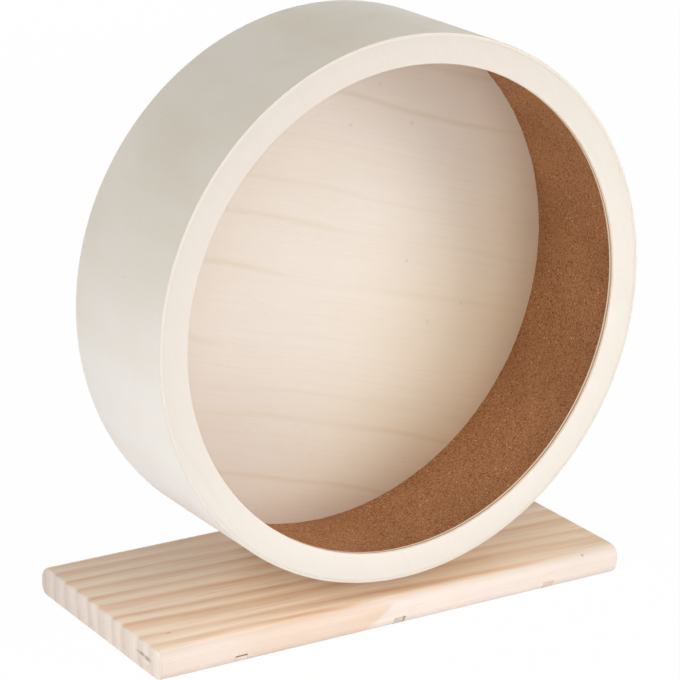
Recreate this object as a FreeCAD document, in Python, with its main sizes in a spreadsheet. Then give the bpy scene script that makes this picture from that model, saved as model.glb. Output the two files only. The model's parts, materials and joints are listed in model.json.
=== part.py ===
import FreeCAD, Part
import os
import re
import Sketcher
from FreeCAD import Placement, Rotation, Vector

# A rodent exercise wheel: a closed wooden drum, open at the front, that turns on one axle
# in a post behind it. Front is -Y, up is +Z. The origin is on the floor, under the middle
# of the whole object. Lengths are millimetres and angles are degrees.
driving = {
    # drum
    "wheel_radius": 165,
    "wheel_depth": 100,
    "skin_thickness": 2,
    "cork_thickness": 2,
    "ring_thickness": 4.2,
    "rim_width": 18,
    "ring_edge_ease": 0.6,
    "disc_thickness": 4.2,
    "glue_gap": 0.05,
    "seam_gap": 0.4,
    "skin_seam_angle": -40,
    "cork_seam_angle": 140,
    # base board and its battens
    "base_length": 328,
    "base_depth": 152,
    "base_thickness": 19,
    "base_top_round": 7,
    "base_bottom_round": 7,
    "base_end_ease": 2.5,
    "base_shift": 1,
    "wheel_overhang": 2.6,
    "wheel_clearance": 14,
    "groove_width": 8,
    "groove_height": 6.2,
    "batten_inset": 54,
    "batten_fit": 0.1,
    "left_batten_gap": 1,
    "middle_batten_gap": 1.6,
    # post and its screws
    "upright_width": 70,
    "upright_thickness": 19,
    "upright_edge_ease": 1.5,
    "shoulder_diameter": 17,
    "screw_spacing": 44,
    "screw_length": 50,
    "screw_diameter": 4.5,
    "screw_head_diameter": 9,
    "screw_head_height": 2.7,
    "screw_head_recess": 0.4,
    "screw_point_length": 6,
    "screw_fit": 0.04,
    "cross_length": 4.8,
    "cross_width": 1.1,
    "cross_depth": 1.6,
    # hub and axle
    "hub_diameter": 60,
    "hub_thickness": 10,
    "hub_edge_ease": 1,
    "bolt_diameter": 8,
    "bolt_head_diameter": 20,
    "bolt_head_height": 4.2,
    "bolt_head_round": 3,
    "bolt_neck_width": 8.2,
    "bolt_neck_length": 4,
    "bolt_end_chamfer": 0.8,
    "bolt_tail": 1.2,
    "bolt_fit": 0.02,
    "pocket_fit": 0.15,
    "hole_fit": 0.2,
    "washer_diameter": 16,
    "washer_thickness": 1.6,
    "nut_width": 13,
    "nut_height": 6.5,
    "nut_chamfer": 0.6,
    "shim_diameter": 12,
    "shim_thickness": 1,
    "lock_nut_height": 8,
    "lock_nut_hex_height": 5.6,
    "lock_nut_collar_diameter": 11.6,
    "insert_diameter": 10.2,
    "insert_height": 1.9,
    # ball bearings
    "bearing_diameter": 22,
    "bearing_width": 7,
    "bearing_fit": 0.02,
    "pitch_diameter": 15,
    "ball_diameter": 3.969,
    "ball_count": 7,
    "race_clearance": 0.06,
    "inner_land_diameter": 12.1,
    "outer_land_diameter": 18,
    "shield_thickness": 0.3,
    "shield_recess": 0.35,
    "shield_seat": 0.6,
    "shield_clearance": 0.3,
    "cage_thickness": 1.2,
    "cage_width": 4.8,
    "cage_pocket_fit": 0.14,
    "spacer_wall": 1.4,
}

# Places and sizes that follow from the driving dimensions. The y places run along the axle
# from the drum's front face to the end of the bolt.
derived = {
    "front_y": "=-(wheel_overhang + base_depth) / 2",
    "base_front_y": "=front_y + wheel_overhang",
    "batten_spacing": "=base_length / 2 - batten_inset",
    "axle_height": "=base_thickness + wheel_clearance + wheel_radius",
    "skin_inner_radius": "=wheel_radius - skin_thickness",
    "panel_radius": "=skin_inner_radius - glue_gap",
    "ring_opening_radius": "=wheel_radius - rim_width",
    "cork_depth": "=wheel_depth - ring_thickness - disc_thickness - 2 * glue_gap",
    "disc_y": "=front_y + wheel_depth - disc_thickness",
    "hub_y": "=front_y + wheel_depth",
    "hub_washer_y": "=hub_y + hub_thickness",
    "hub_nut_y": "=hub_washer_y + washer_thickness",
    "shim_y": "=hub_nut_y + nut_height",
    "upright_y": "=shim_y + shim_thickness",
    "spacer_y": "=upright_y + bearing_width",
    "spacer_length": "=upright_thickness - 2 * bearing_width",
    "rear_bearing_y": "=spacer_y + spacer_length",
    "rear_washer_y": "=upright_y + upright_thickness",
    "lock_nut_y": "=rear_washer_y + washer_thickness",
    "bolt_y": "=hub_y + pocket_fit",
    "bolt_length": "=lock_nut_y + lock_nut_height + bolt_tail - bolt_y",
    "bolt_radius": "=bolt_diameter / 2 - bolt_fit",
    "clear_hole_radius": "=bolt_diameter / 2 + hole_fit",
    "thread_hole_radius": "=bolt_diameter / 2 + bolt_fit",
    "nut_corner_radius": "=nut_width / 2 / cos(30)",
    "insert_y": "=lock_nut_y + lock_nut_height - insert_height",
    "seat_radius": "=bearing_diameter / 2 + bearing_fit",
    "pitch_radius": "=pitch_diameter / 2",
    "race_radius": "=ball_diameter / 2 + race_clearance",
    "shield_seat_radius": "=outer_land_diameter / 2 + shield_seat",
    "shield_depth": "=shield_recess + shield_thickness",
    "screw_y": "=upright_y + upright_thickness / 2",
    "screw_radius": "=screw_diameter / 2",
    "screw_head_radius": "=screw_head_diameter / 2",
    "screw_end": "=screw_head_recess + screw_length",
}

doc = FreeCAD.newDocument("RodentExerciseWheel")
sheet = doc.addObject("Spreadsheet::Sheet", "Dims")
for row, (alias, content) in enumerate({**driving, **derived}.items(), start=1):
    sheet.set(f"A{row}", alias)
    sheet.set(f"B{row}", str(content))
    sheet.setAlias(f"B{row}", alias)
doc.recompute()

along_axle = Rotation(Vector(1, 0, 0), -90)
upwards = Rotation()
pieces = {}


def from_sheet(expression):
    """The expression with the sheet's name before each alias, which all have an underscore."""
    return re.sub(r"[a-z]+(?:_[a-z]+)+", lambda alias: "Dims." + alias.group(), expression)


def value(expression):
    return float(sheet.evalExpression(from_sheet(expression)))


def bind(item, **expressions):
    for name, expression in expressions.items():
        item.setExpression(name, from_sheet(expression))
    return item


def place(item, x="0", y="0", z="0", turn=upwards):
    item.Placement = Placement(Vector(value(x), value(y), value(z)), turn)
    for axis, expression in zip("xyz", (x, y, z)):
        item.setExpression(f"Placement.Base.{axis}", from_sheet(expression))
    return item


def keep(name, item):
    """Marks an object as a finished piece, under the name of its node."""
    item.Label = name
    pieces[name] = item
    return item


def outline_sketch(body, plane_role):
    plane = next(item for item in body.Origin.OriginFeatures if item.Role == plane_role)
    sketch = body.newObject("Sketcher::SketchObject", body.Name + "_outline")
    sketch.AttachmentSupport = [(plane, "")]
    sketch.MapMode = "FlatFace"
    return sketch


def hold_corner(sketch, line, corner):
    """Holds a line's first point at the corner's distances from the sketch's origin."""
    # in a sketch, -2 is the vertical axis, -1 the horizontal axis, and point 1 of -1 the origin
    for kind, axis, distance in zip(("DistanceX", "DistanceY"), (-2, -1), corner):
        if distance == "0":
            sketch.addConstraint(Sketcher.Constraint("PointOnObject", line, 1, axis))
        else:
            index = sketch.addConstraint(Sketcher.Constraint(kind, -1, 1, line, 1, value(distance)))
            sketch.setExpression(f"Constraints[{index}]", from_sheet(distance))


def draw_polygon(sketch, corners):
    points = [Vector(value(across), value(along), 0) for across, along in corners]
    count = len(points)
    for line in range(count):
        sketch.addGeometry(Part.LineSegment(points[line], points[(line + 1) % count]))
    for line, corner in enumerate(corners):
        sketch.addConstraint(Sketcher.Constraint("Coincident", line, 2, (line + 1) % count, 1))
        hold_corner(sketch, line, corner)


def turned(name, corners, x="0", y="0", z="axle_height", axis=along_axle, angle="360"):
    """A body turned from a polygon of (radius, distance along the axis) corners."""
    body = doc.addObject("PartDesign::Body", name)
    place(body, x, y, z, axis)
    sketch = outline_sketch(body, "XZ_Plane")
    draw_polygon(sketch, corners)
    revolution = body.newObject("PartDesign::Revolution", name + "_turn")
    revolution.Profile = sketch
    revolution.ReferenceAxis = (sketch, ["V_Axis"])
    bind(revolution, Angle=angle)
    return body


def tube(name, inner_radius, outer_radius, length, y, axis=along_axle, angle="360"):
    corners = (inner_radius, "0"), (outer_radius, "0"), (outer_radius, length), (inner_radius, length)
    return turned(name, corners, y=y, axis=axis, angle=angle)


def box(name, length, width, height, x, y, z):
    block = bind(doc.addObject("Part::Box", name), Length=length, Width=width, Height=height)
    return place(block, x, y, z)


def cut(name, base, *tools):
    result = doc.addObject("Part::Cut", name)
    result.Base = base
    result.Tool = tools[0]
    if len(tools) > 1:
        joined = doc.addObject("Part::MultiFuse", name + "_tools")
        joined.Shapes = tools
        result.Tool = joined
    return result


def joined_by(kind, name, base, tool):
    result = doc.addObject(kind, name)
    result.Base = base
    result.Tool = tool
    return result


def group(name, members):
    result = doc.addObject("Part::Compound", name)
    result.Links = members
    return result


def round_edges(body, radius, chosen):
    doc.recompute()
    base = body.Tip
    names = [f"Edge{index}" for index, edge in enumerate(base.Shape.Edges, start=1) if chosen(edge)]
    fillet = body.newObject("PartDesign::Fillet", body.Name + "_round")
    fillet.Base = (base, names)
    bind(fillet, Radius=radius)


def same(length, expression):
    tolerance = 0.001
    return abs(length - value(expression)) < tolerance


def make_drum():
    ring = tube("ring_blank", "ring_opening_radius", "panel_radius", "ring_thickness", "front_y")
    round_edges(ring, "ring_edge_ease", lambda edge: same(edge.BoundBox.XLength, "2 * ring_opening_radius"))
    keep("front_ring", ring)

    strips = {
        "drum_skin": ("skin_inner_radius", "wheel_radius", "wheel_depth", "front_y", "skin_seam_angle"),
        "cork_liner": ("panel_radius - cork_thickness", "panel_radius", "cork_depth",
                       "front_y + ring_thickness + glue_gap", "cork_seam_angle"),
    }
    for name, (inner, outer, depth, start, seam) in strips.items():
        turn_to_seam = along_axle * Rotation(Vector(0, 0, 1), -value(seam))
        full_turn = f"360 - seam_gap / ({outer}) * 180 / pi"
        keep(name, tube(name + "_strip", inner, outer, depth, start, turn_to_seam, full_turn))

    disc = doc.addObject("Part::Cylinder", "disc")
    bind(disc, Radius="panel_radius", Height="disc_thickness")
    keep("back_disc", place(disc, y="disc_y", z="axle_height", turn=along_axle))


def make_hub_and_axle():
    pocket_radius = "bolt_head_diameter / 2 + pocket_fit"
    pocket_depth = "pocket_fit + bolt_head_height"
    hub = turned("hub_blank", (
        (pocket_radius, "0"), ("hub_diameter / 2", "0"), ("hub_diameter / 2", "hub_thickness"),
        ("clear_hole_radius", "hub_thickness"), ("clear_hole_radius", pocket_depth),
        (pocket_radius, pocket_depth),
    ), y="hub_y")
    round_edges(hub, "hub_edge_ease", lambda edge: same(edge.BoundBox.ZMin, "hub_thickness")
                and same(edge.BoundBox.XLength, "hub_diameter"))

    neck_y = "bolt_y + bolt_head_height"
    necks = []
    for name, fit in (("neck_hole", " + 2 * bolt_fit"), ("bolt_neck", "")):
        width = "bolt_neck_width" + fit
        corner = f"-({width}) / 2"
        length = "bolt_neck_length" + fit
        necks.append(box(name, width, length, width, corner, neck_y, f"axle_height + {corner}"))
    keep("hub_block", cut("hub_cut", hub, necks[0]))

    shank = turned("bolt_shank", (
        ("0", "0"), ("bolt_head_diameter / 2", "0"), ("bolt_head_diameter / 2", "bolt_head_height"),
        ("bolt_radius", "bolt_head_height"), ("bolt_radius", "bolt_length - bolt_end_chamfer"),
        ("bolt_radius - bolt_end_chamfer", "bolt_length"), ("0", "bolt_length"),
    ), y="bolt_y")
    round_edges(shank, "bolt_head_round", lambda edge: same(edge.BoundBox.ZMax, "0")
                and same(edge.BoundBox.XLength, "bolt_head_diameter"))
    keep("axle_bolt", joined_by("Part::Fuse", "bolt", shank, necks[1]))

    hole, thread = "clear_hole_radius", "thread_hole_radius"
    rings = {
        "hub_washer": (hole, "washer_diameter / 2", "washer_thickness", "hub_washer_y"),
        "front_shim": (hole, "shim_diameter / 2", "shim_thickness", "shim_y"),
        "bearing_spacer": (hole, "clear_hole_radius + spacer_wall", "spacer_length", "spacer_y"),
        "rear_washer": (hole, "washer_diameter / 2", "washer_thickness", "rear_washer_y"),
        "lock_nut_insert": (thread, "insert_diameter / 2 - bolt_fit", "insert_height", "insert_y"),
    }
    for name, ring in rings.items():
        keep(name, tube(name + "_ring", *ring))

    flat, corner = "nut_width / 2", "nut_corner_radius"
    hub_nut_corners = (
        (thread, "0"), (flat, "0"), (corner, "nut_chamfer"),
        (corner, "nut_height - nut_chamfer"), (flat, "nut_height"), (thread, "nut_height"),
    )
    collar, seat = "lock_nut_collar_diameter / 2", "insert_diameter / 2"
    insert_floor = "lock_nut_height - insert_height"
    lock_nut_corners = (
        (thread, "0"), (flat, "0"), (corner, "nut_chamfer"),
        (corner, "lock_nut_hex_height - nut_chamfer"), (flat, "lock_nut_hex_height"),
        (collar, "lock_nut_hex_height"), (collar, "lock_nut_height"), (seat, "lock_nut_height"),
        (seat, insert_floor), (thread, insert_floor),
    )
    nuts = {
        "hub_nut": (hub_nut_corners, "nut_height", "hub_nut_y"),
        "lock_nut": (lock_nut_corners, "lock_nut_height", "lock_nut_y"),
    }
    for name, (corners, height, start) in nuts.items():
        hexagon = doc.addObject("Part::Prism", name + "_hexagon")
        hexagon.Polygon = 6
        bind(hexagon, Circumradius=corner, Height=height)
        place(hexagon, y=start, z="axle_height", turn=along_axle)
        round_blank = turned(name + "_round", corners, y=start)
        keep(name, joined_by("Part::Common", name + "_cut", round_blank, hexagon))


def make_bearing(side, start):
    """A shielded ball bearing whose front face is at start."""
    middle = f"{start} + bearing_width / 2"
    groove = doc.addObject("Part::Torus", side + "_race_groove")
    bind(groove, Radius1="pitch_radius", Radius2="race_radius")
    place(groove, y=middle, z="axle_height", turn=along_axle)

    bore = "bolt_diameter / 2"
    inner = tube(side + "_inner_blank", bore, "inner_land_diameter / 2", "bearing_width", start)
    keep(side + "_inner_race", cut(side + "_inner_cut", inner, groove))

    land, seat, rim = "outer_land_diameter / 2", "shield_seat_radius", "bearing_diameter / 2"
    far_seat = "bearing_width - shield_depth"
    outer = turned(side + "_outer_blank", (
        (seat, "0"), (rim, "0"), (rim, "bearing_width"), (seat, "bearing_width"),
        (seat, far_seat), (land, far_seat), (land, "shield_depth"), (seat, "shield_depth"),
    ), y=start)
    keep(side + "_outer_race", cut(side + "_outer_cut", outer, groove))

    shield_bore = "inner_land_diameter / 2 + shield_clearance"
    shield_rim = "shield_seat_radius - bearing_fit"
    shields = []
    for face, offset in (("near", "shield_recess"), ("far", far_seat)):
        name = f"{side}_{face}_shield"
        shields.append(tube(name, shield_bore, shield_rim, "shield_thickness", f"{start} + {offset}"))
    keep(side + "_shields", group(side + "_shield_pair", shields))

    cage_inside, cage_outside = "pitch_radius - cage_thickness / 2", "pitch_radius + cage_thickness / 2"
    cage_blank = tube(side + "_cage_blank", cage_inside, cage_outside, "cage_width",
                      f"{middle} - cage_width / 2")
    balls, pockets = [], []
    for index in range(int(value("ball_count"))):
        angle = f"360 * {index} / ball_count"
        ball = bind(doc.addObject("Part::Sphere", f"{side}_ball"), Radius="ball_diameter / 2")
        place(ball, f"pitch_radius * cos({angle})", middle, f"axle_height + pitch_radius * sin({angle})")
        balls.append(ball)
        pocket = doc.addObject("Part::Cylinder", f"{side}_pocket")
        bind(pocket, Radius="ball_diameter / 2 + cage_pocket_fit", Height="pitch_diameter")
        outwards = Rotation(Vector(0, 0, 1), Vector(1, 0, 0))
        place(pocket, y=middle, z="axle_height", turn=Rotation(Vector(0, 1, 0), -value(angle)) * outwards)
        pockets.append(pocket)
    keep(side + "_cage", cut(side + "_cage_cut", cage_blank, *pockets))
    keep(side + "_balls", group(side + "_ball_set", balls))


def make_screw(side, x):
    """A countersunk wood screw, driven up through the board, and the hole that it makes."""
    neck, point = "screw_head_recess + screw_head_height", "screw_end - screw_point_length"
    screw = turned(side + "_screw", (
        ("0", "screw_head_recess"), ("screw_head_radius", "screw_head_recess"),
        ("screw_radius", neck), ("screw_radius", point), ("0", "screw_end"),
    ), x, "screw_y", "0", upwards)
    mouth, bore = "screw_head_radius + screw_fit", "screw_radius + screw_fit"
    hole = turned(side + "_screw_hole", (
        ("0", "0"), (mouth, "0"), (mouth, "screw_head_recess"),
        (bore, neck), (bore, point), ("0", "screw_end"),
    ), x, "screw_y", "0", upwards)
    slots = []
    for name, wide, deep in (("a", "cross_length", "cross_width"), ("b", "cross_width", "cross_length")):
        slots.append(box(f"{side}_cross_{name}", wide, deep, "cross_depth", f"{x} - {wide} / 2",
                         f"screw_y - {deep} / 2", "screw_head_recess"))
    return cut(side + "_screw_cut", screw, *slots), hole


def make_stand():
    blank = doc.addObject("PartDesign::Body", "base_blank")
    place(blank, "base_shift - base_length / 2", "base_front_y", "0")
    sketch = outline_sketch(blank, "XY_Plane")
    length, depth = "base_length", "base_depth"
    draw_polygon(sketch, (("0", "0"), (length, "0"), (length, depth), ("0", depth)))
    pad = blank.newObject("PartDesign::Pad", "base_pad")
    pad.Profile = sketch
    bind(pad, Length="base_thickness")
    for radius, height in (("base_top_round", "base_thickness"), ("base_bottom_round", "0")):
        round_edges(blank, radius, lambda edge: same(edge.BoundBox.XLength, length)
                    and same(edge.BoundBox.ZMin, height) and same(edge.BoundBox.ZMax, height))
    round_edges(blank, "base_end_ease", lambda edge: edge.BoundBox.XLength < value("base_end_ease"))

    grooves = []
    battens = {
        "left_batten": ("base_shift - batten_spacing", "left_batten_gap", "batten_fit"),
        "middle_batten": ("base_shift", "batten_fit", "middle_batten_gap"),
        "right_batten": ("base_shift + batten_spacing", "batten_fit", "batten_fit"),
    }
    for name, (centre, gap_above, gap_right) in battens.items():
        left, front, floor = f"{centre} - groove_width / 2", "base_front_y", "0"
        grooves.append(box(name + "_groove", "groove_width", depth, "groove_height", left, front, floor))
        width, height = f"groove_width - batten_fit - {gap_right}", f"groove_height - {gap_above}"
        strip = box(name + "_strip", width, depth, height, f"{left} + batten_fit", front, floor)
        keep(name, joined_by("Part::Common", name + "_cut", strip, blank))

    places = {"left": "-screw_spacing / 2", "right": "screw_spacing / 2"}
    screws, holes = zip(*(make_screw(side, x) for side, x in places.items()))
    keep("upright_screws", group("screw_pair", list(screws)))
    keep("base_board", cut("base_cut", blank, *grooves, *holes))
    keep("rear_upright", cut("upright_cut", make_post(), make_bearing_seats(), *holes))


def make_post():
    post = doc.addObject("PartDesign::Body", "post")
    place(post, "-upright_width / 2", "upright_y", "base_thickness")
    sketch = outline_sketch(post, "XZ_Plane")
    width, shoulder = "upright_width", "axle_height - base_thickness"
    wide, high = value(width), value(shoulder)
    foot_left, foot_right = Vector(0, 0, 0), Vector(wide, 0, 0)
    top_right, top_left = Vector(wide, high, 0), Vector(0, high, 0)
    crown = Vector(wide / 2, high + wide / 2, 0)
    sketch.addGeometry(Part.LineSegment(foot_left, foot_right))
    sketch.addGeometry(Part.LineSegment(foot_right, top_right))
    sketch.addGeometry(Part.Arc(top_right, crown, top_left))
    sketch.addGeometry(Part.LineSegment(top_left, foot_left))
    foot, right, arch, left = range(4)
    sketch.addConstraint(Sketcher.Constraint("Coincident", foot, 2, right, 1))
    sketch.addConstraint(Sketcher.Constraint("Tangent", right, 2, arch, 1))
    sketch.addConstraint(Sketcher.Constraint("Tangent", arch, 2, left, 1))
    sketch.addConstraint(Sketcher.Constraint("Coincident", left, 2, foot, 1))
    sketch.addConstraint(Sketcher.Constraint("Vertical", left))
    hold_corner(sketch, foot, ("0", "0"))
    hold_corner(sketch, right, (width, "0"))
    rise = sketch.addConstraint(Sketcher.Constraint("DistanceY", right, 1, right, 2, high))
    sketch.setExpression(f"Constraints[{rise}]", from_sheet(shoulder))
    pad = post.newObject("PartDesign::Pad", "post_pad")
    pad.Profile = sketch
    pad.Reversed = True
    bind(pad, Length="upright_thickness")
    round_edges(post, "upright_edge_ease", lambda edge: edge.BoundBox.YLength < value("upright_edge_ease")
                and edge.BoundBox.ZMax > value("upright_edge_ease"))
    return post


def make_bearing_seats():
    """The stepped hole for the two bearings, with a shoulder between them."""
    seat, shoulder = "seat_radius", "shoulder_diameter / 2"
    near, far, rear = "bearing_width", "upright_thickness - bearing_width", "upright_thickness"
    return turned("bearing_seats", (
        ("0", "0"), (seat, "0"), (seat, near), (shoulder, near),
        (shoulder, far), (seat, far), (seat, rear), ("0", rear),
    ), y="upright_y")


make_drum()
make_hub_and_axle()
make_bearing("front", "upright_y")
make_bearing("rear", "rear_bearing_y")
make_stand()
doc.recompute()

for item in doc.Objects:
    if {"Invalid", "Error"} & set(item.State):
        raise RuntimeError(f"{item.Label} failed: {item.State}")
for name, item in pieces.items():
    if item.Shape.isNull() or not item.Shape.isValid() or not item.Shape.Solids:
        raise RuntimeError(f"{name} has no valid solid")

os.makedirs("parts", exist_ok=True)
for name, item in pieces.items():
    item.Shape.exportStep(f"parts/{name}.step")
    print(f"{name}: {len(item.Shape.Solids)} solid(s), {item.Shape.Volume / 1000:.3f} cm3")
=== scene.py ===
import json
from math import acos, cos, pi, radians, sin, tau

import bmesh
import bpy
from mathutils import Matrix, Vector, noise


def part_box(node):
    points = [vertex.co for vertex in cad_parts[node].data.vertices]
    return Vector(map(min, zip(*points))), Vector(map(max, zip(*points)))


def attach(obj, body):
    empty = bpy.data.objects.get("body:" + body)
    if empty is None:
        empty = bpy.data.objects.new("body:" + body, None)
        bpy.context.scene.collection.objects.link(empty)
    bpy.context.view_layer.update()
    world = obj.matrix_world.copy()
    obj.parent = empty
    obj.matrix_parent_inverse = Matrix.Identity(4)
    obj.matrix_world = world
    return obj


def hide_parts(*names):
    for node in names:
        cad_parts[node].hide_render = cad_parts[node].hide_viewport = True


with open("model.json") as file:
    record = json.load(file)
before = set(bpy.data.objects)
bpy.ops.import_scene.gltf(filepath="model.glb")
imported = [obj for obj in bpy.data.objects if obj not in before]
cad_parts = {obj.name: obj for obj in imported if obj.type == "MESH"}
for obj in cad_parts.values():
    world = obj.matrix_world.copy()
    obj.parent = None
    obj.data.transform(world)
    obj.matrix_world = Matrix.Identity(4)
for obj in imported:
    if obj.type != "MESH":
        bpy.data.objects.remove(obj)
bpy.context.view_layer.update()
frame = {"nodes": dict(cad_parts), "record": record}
scene = bpy.context.scene
mm = 0.001
tiny = 0.001 * mm  # measures closer than this are the same
print("frame loaded,", len(frame["nodes"]), "nodes")


def halfWidth(low, high):
    return 0.5 * (high.x - low.x)


# the axle line, from the drum's own box
skinLow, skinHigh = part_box("drum_skin")
axle = Vector((0.5 * (skinLow.x + skinHigh.x), 0.0, 0.5 * (skinLow.z + skinHigh.z)))
rimRadius = halfWidth(skinLow, skinHigh)


# camera, floor and light

camera = {
    "place": (-0.8897, -1.3967, 0.7074), "yaw": -32.548, "pitch": 18.299, "roll": 1.171,
    "lens": 152.92, "sensor": 36.0, "clip": (0.05, 60.0),
}
white = (1.0, 1.0, 1.0, 1.0)
studio = {
    "floorSize": 9.0, "floorDrop": 0.3 * mm,
    "paper": {"Base Color": (0.88, 0.88, 0.88, 1.0), "Roughness": 0.9, "Specular IOR Level": 0.1},
    "floorWhite": 0.985,  # share of plain white that the camera sees in the floor
    "skyHeights": (-0.1, 0.9), "skyLevels": (0.31, 0.32),
    "lamps": {
        "topLamp": {"place": (0.1, -1.1, 1.6), "aim": (0.0, 0.0, 0.1), "size": 1.2, "power": 8.5},
        "leftLamp": {"place": (-1.3, -0.35, 0.55), "aim": (0.0, 0.0, 0.15), "size": 1.0, "power": 3.65},
        "rightLamp": {"place": (1.3, -1.7, 0.38), "aim": (0.0, 0.0, 0.12), "size": 1.0, "power": 14.2},
        "leftCard": {"place": (-0.37, -0.06, 0.015), "aim": (-0.14, 0.0, 0.12), "size": 0.36, "power": 0.455,
                     "tint": (0.9, 0.97, 1.19)},
        "flankCard": {"place": (-0.235, -0.027, 0.03), "aim": (-0.125, -0.027, 0.095), "size": 0.16,
                      "height": 0.05, "power": 0.0028, "tint": (0.55, 0.82, 1.8), "spread": 40.0},
        "frontCard": {"place": (0.02, -0.62, 0.13), "aim": (0.0, 0.0, 0.07), "size": 0.45, "power": 1.86},
        "backLamp": {"place": (0.3, 2.2, 0.25), "aim": (0.0, 0.0, 0.16), "size": 1.6, "height": 0.9,
                     "power": 12.0},
    },
}


def addObject(name, data):
    made = bpy.data.objects.new(name, data)
    scene.collection.objects.link(made)
    return made


def setCamera():
    lens = bpy.data.cameras.new("camera")
    lens.sensor_width = camera["sensor"]
    lens.lens = camera["lens"]
    lens.clip_start, lens.clip_end = camera["clip"]
    view = addObject("camera", lens)
    view.matrix_world = (
        Matrix.Translation(camera["place"])
        @ Matrix.Rotation(radians(camera["yaw"]), 4, "Z")
        @ Matrix.Rotation(radians(90.0 - camera["pitch"]), 4, "X")
        @ Matrix.Rotation(radians(camera["roll"]), 4, "Z")
    )
    scene.camera = view


# node helpers: a value that is a socket is linked, any other is set

def addNode(tree, kind, inputs=None, **settings):
    made = tree.nodes.new("ShaderNode" + kind)
    for key, value in settings.items():
        setattr(made, key, value)
    for key, value in (inputs or {}).items():
        if isinstance(value, bpy.types.NodeSocket):
            tree.links.new(value, made.inputs[key])
        else:
            made.inputs[key].default_value = value
    return made


def calc(tree, operation, first, second=0.0, third=0.0):
    return addNode(tree, "Math", {0: first, 1: second, 2: third}, operation=operation).outputs[0]


def times(tree, first, second):
    return calc(tree, "MULTIPLY", first, second)


def spread(tree, value, low, high, toLow=0.0, toHigh=1.0, kind="SMOOTHSTEP"):
    inputs = {"Value": value, "From Min": low, "From Max": high, "To Min": toLow, "To Max": toHigh}
    return addNode(tree, "MapRange", inputs, interpolation_type=kind).outputs[0]


def axesOf(tree, vector):
    return addNode(tree, "SeparateXYZ", {0: vector}).outputs


def joined(tree, x, y=0.0, z=0.0):
    return addNode(tree, "CombineXYZ", {0: x, 1: y, 2: z}).outputs[0]


def lengthOf(tree, vector):
    return addNode(tree, "VectorMath", {0: vector}, operation="LENGTH").outputs["Value"]


def mapped(tree, vector, turn=(0.0, 0.0, 0.0), scale=(1.0, 1.0, 1.0), shift=(0.0, 0.0, 0.0)):
    angles = tuple(radians(a) for a in turn)
    inputs = {"Vector": vector, "Rotation": angles, "Scale": scale, "Location": shift}
    return addNode(tree, "Mapping", inputs).outputs[0]


def noiseAt(tree, vector, scale, detail=2.0, rough=0.5, warp=0.0):
    inputs = {"Vector": vector, "Scale": scale, "Detail": detail, "Roughness": rough, "Distortion": warp}
    return addNode(tree, "TexNoise", inputs).outputs[0]


def streaks(tree, vector, along, across, detail=2.0, rough=0.5):
    # noise with its own scale along X of the vector and across it
    return noiseAt(tree, mapped(tree, vector, scale=(along, across, across)), 1.0, detail, rough)


def swayed(tree, value, wave, amount):
    # noise is about 0.5 in the mean, so the value sways both ways
    return calc(tree, "MULTIPLY_ADD", calc(tree, "SUBTRACT", wave, 0.5), amount, value)


def mixColour(tree, share, first, second, blend="MIX"):
    inputs = {0: share, 6: first, 7: second}
    return addNode(tree, "Mix", inputs, data_type="RGBA", blend_type=blend).outputs[2]


def tinted(tree, paint, mask, share, tint):
    return mixColour(tree, times(tree, mask, share), paint, tint)


def washed(tree, paint, value, span, tint):
    return mixColour(tree, spread(tree, value, *span), paint, tint)


def shaded(tree, paint, level):
    grey = addNode(tree, "CombineColor", {0: level, 1: level, 2: level}).outputs[0]
    return mixColour(tree, 1.0, paint, grey, "MULTIPLY")


def colour(red, green, blue):
    # a paint, 0 to 255, as Blender's linear colour
    def linear(c):
        c /= 255.0
        return c / 12.92 if c <= 0.04045 else ((c + 0.055) / 1.055) ** 2.4
    return (linear(red), linear(green), linear(blue), 1.0)


def newMaterial(name):
    material = bpy.data.materials.new(name)
    material.use_nodes = True
    return material, material.node_tree, addNode(material.node_tree, "TexCoord").outputs


def dress(tree, look, paint, worn, height):
    # the look says how rough, glossy, metallic and embossed the surface is
    strength, distance = look["bump"]
    bump = addNode(tree, "Bump", {"Height": height, "Strength": strength, "Distance": distance})
    rough = spread(tree, worn, *look["roughSpan"])
    inputs = tree.nodes["Principled BSDF"].inputs
    for key, value in (("Base Color", paint), ("Roughness", rough), ("Normal", bump.outputs[0])):
        tree.links.new(value, inputs[key])
    inputs["Specular IOR Level"].default_value = look["gloss"]
    inputs["Metallic"].default_value = look.get("metal", 0.0)


def newGroup(name, **inputs):
    # an input without a value is a vector
    tree = bpy.data.node_groups.new(name, "ShaderNodeTree")
    for socket, value in inputs.items():
        kind = "NodeSocketVector" if value is None else "NodeSocketFloat"
        made = tree.interface.new_socket(socket, in_out="INPUT", socket_type=kind)
        if value is not None:
            made.default_value = value
    return tree, tree.nodes.new("NodeGroupInput").outputs


def endGroup(tree, **outputs):
    for socket in outputs:
        tree.interface.new_socket(socket, in_out="OUTPUT", socket_type="NodeSocketFloat")
    out = tree.nodes.new("NodeGroupOutput")
    for socket, value in outputs.items():
        tree.links.new(value, out.inputs[socket])
    return tree


def useGroup(tree, group, inputs):
    return addNode(tree, "Group", inputs, node_tree=group).outputs


def seenRays(tree):
    # rays that show the floor or the sky itself, straight on or through a mirror or glass
    rays = addNode(tree, "LightPath").outputs
    seen = calc(tree, "MAXIMUM", rays["Is Camera Ray"], rays["Is Glossy Ray"])
    return calc(tree, "MAXIMUM", seen, rays["Is Transmission Ray"])


def addMesh(name, bm):
    mesh = bpy.data.meshes.new(name)
    bm.to_mesh(mesh)
    bm.free()
    return addObject(name, mesh)


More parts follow.
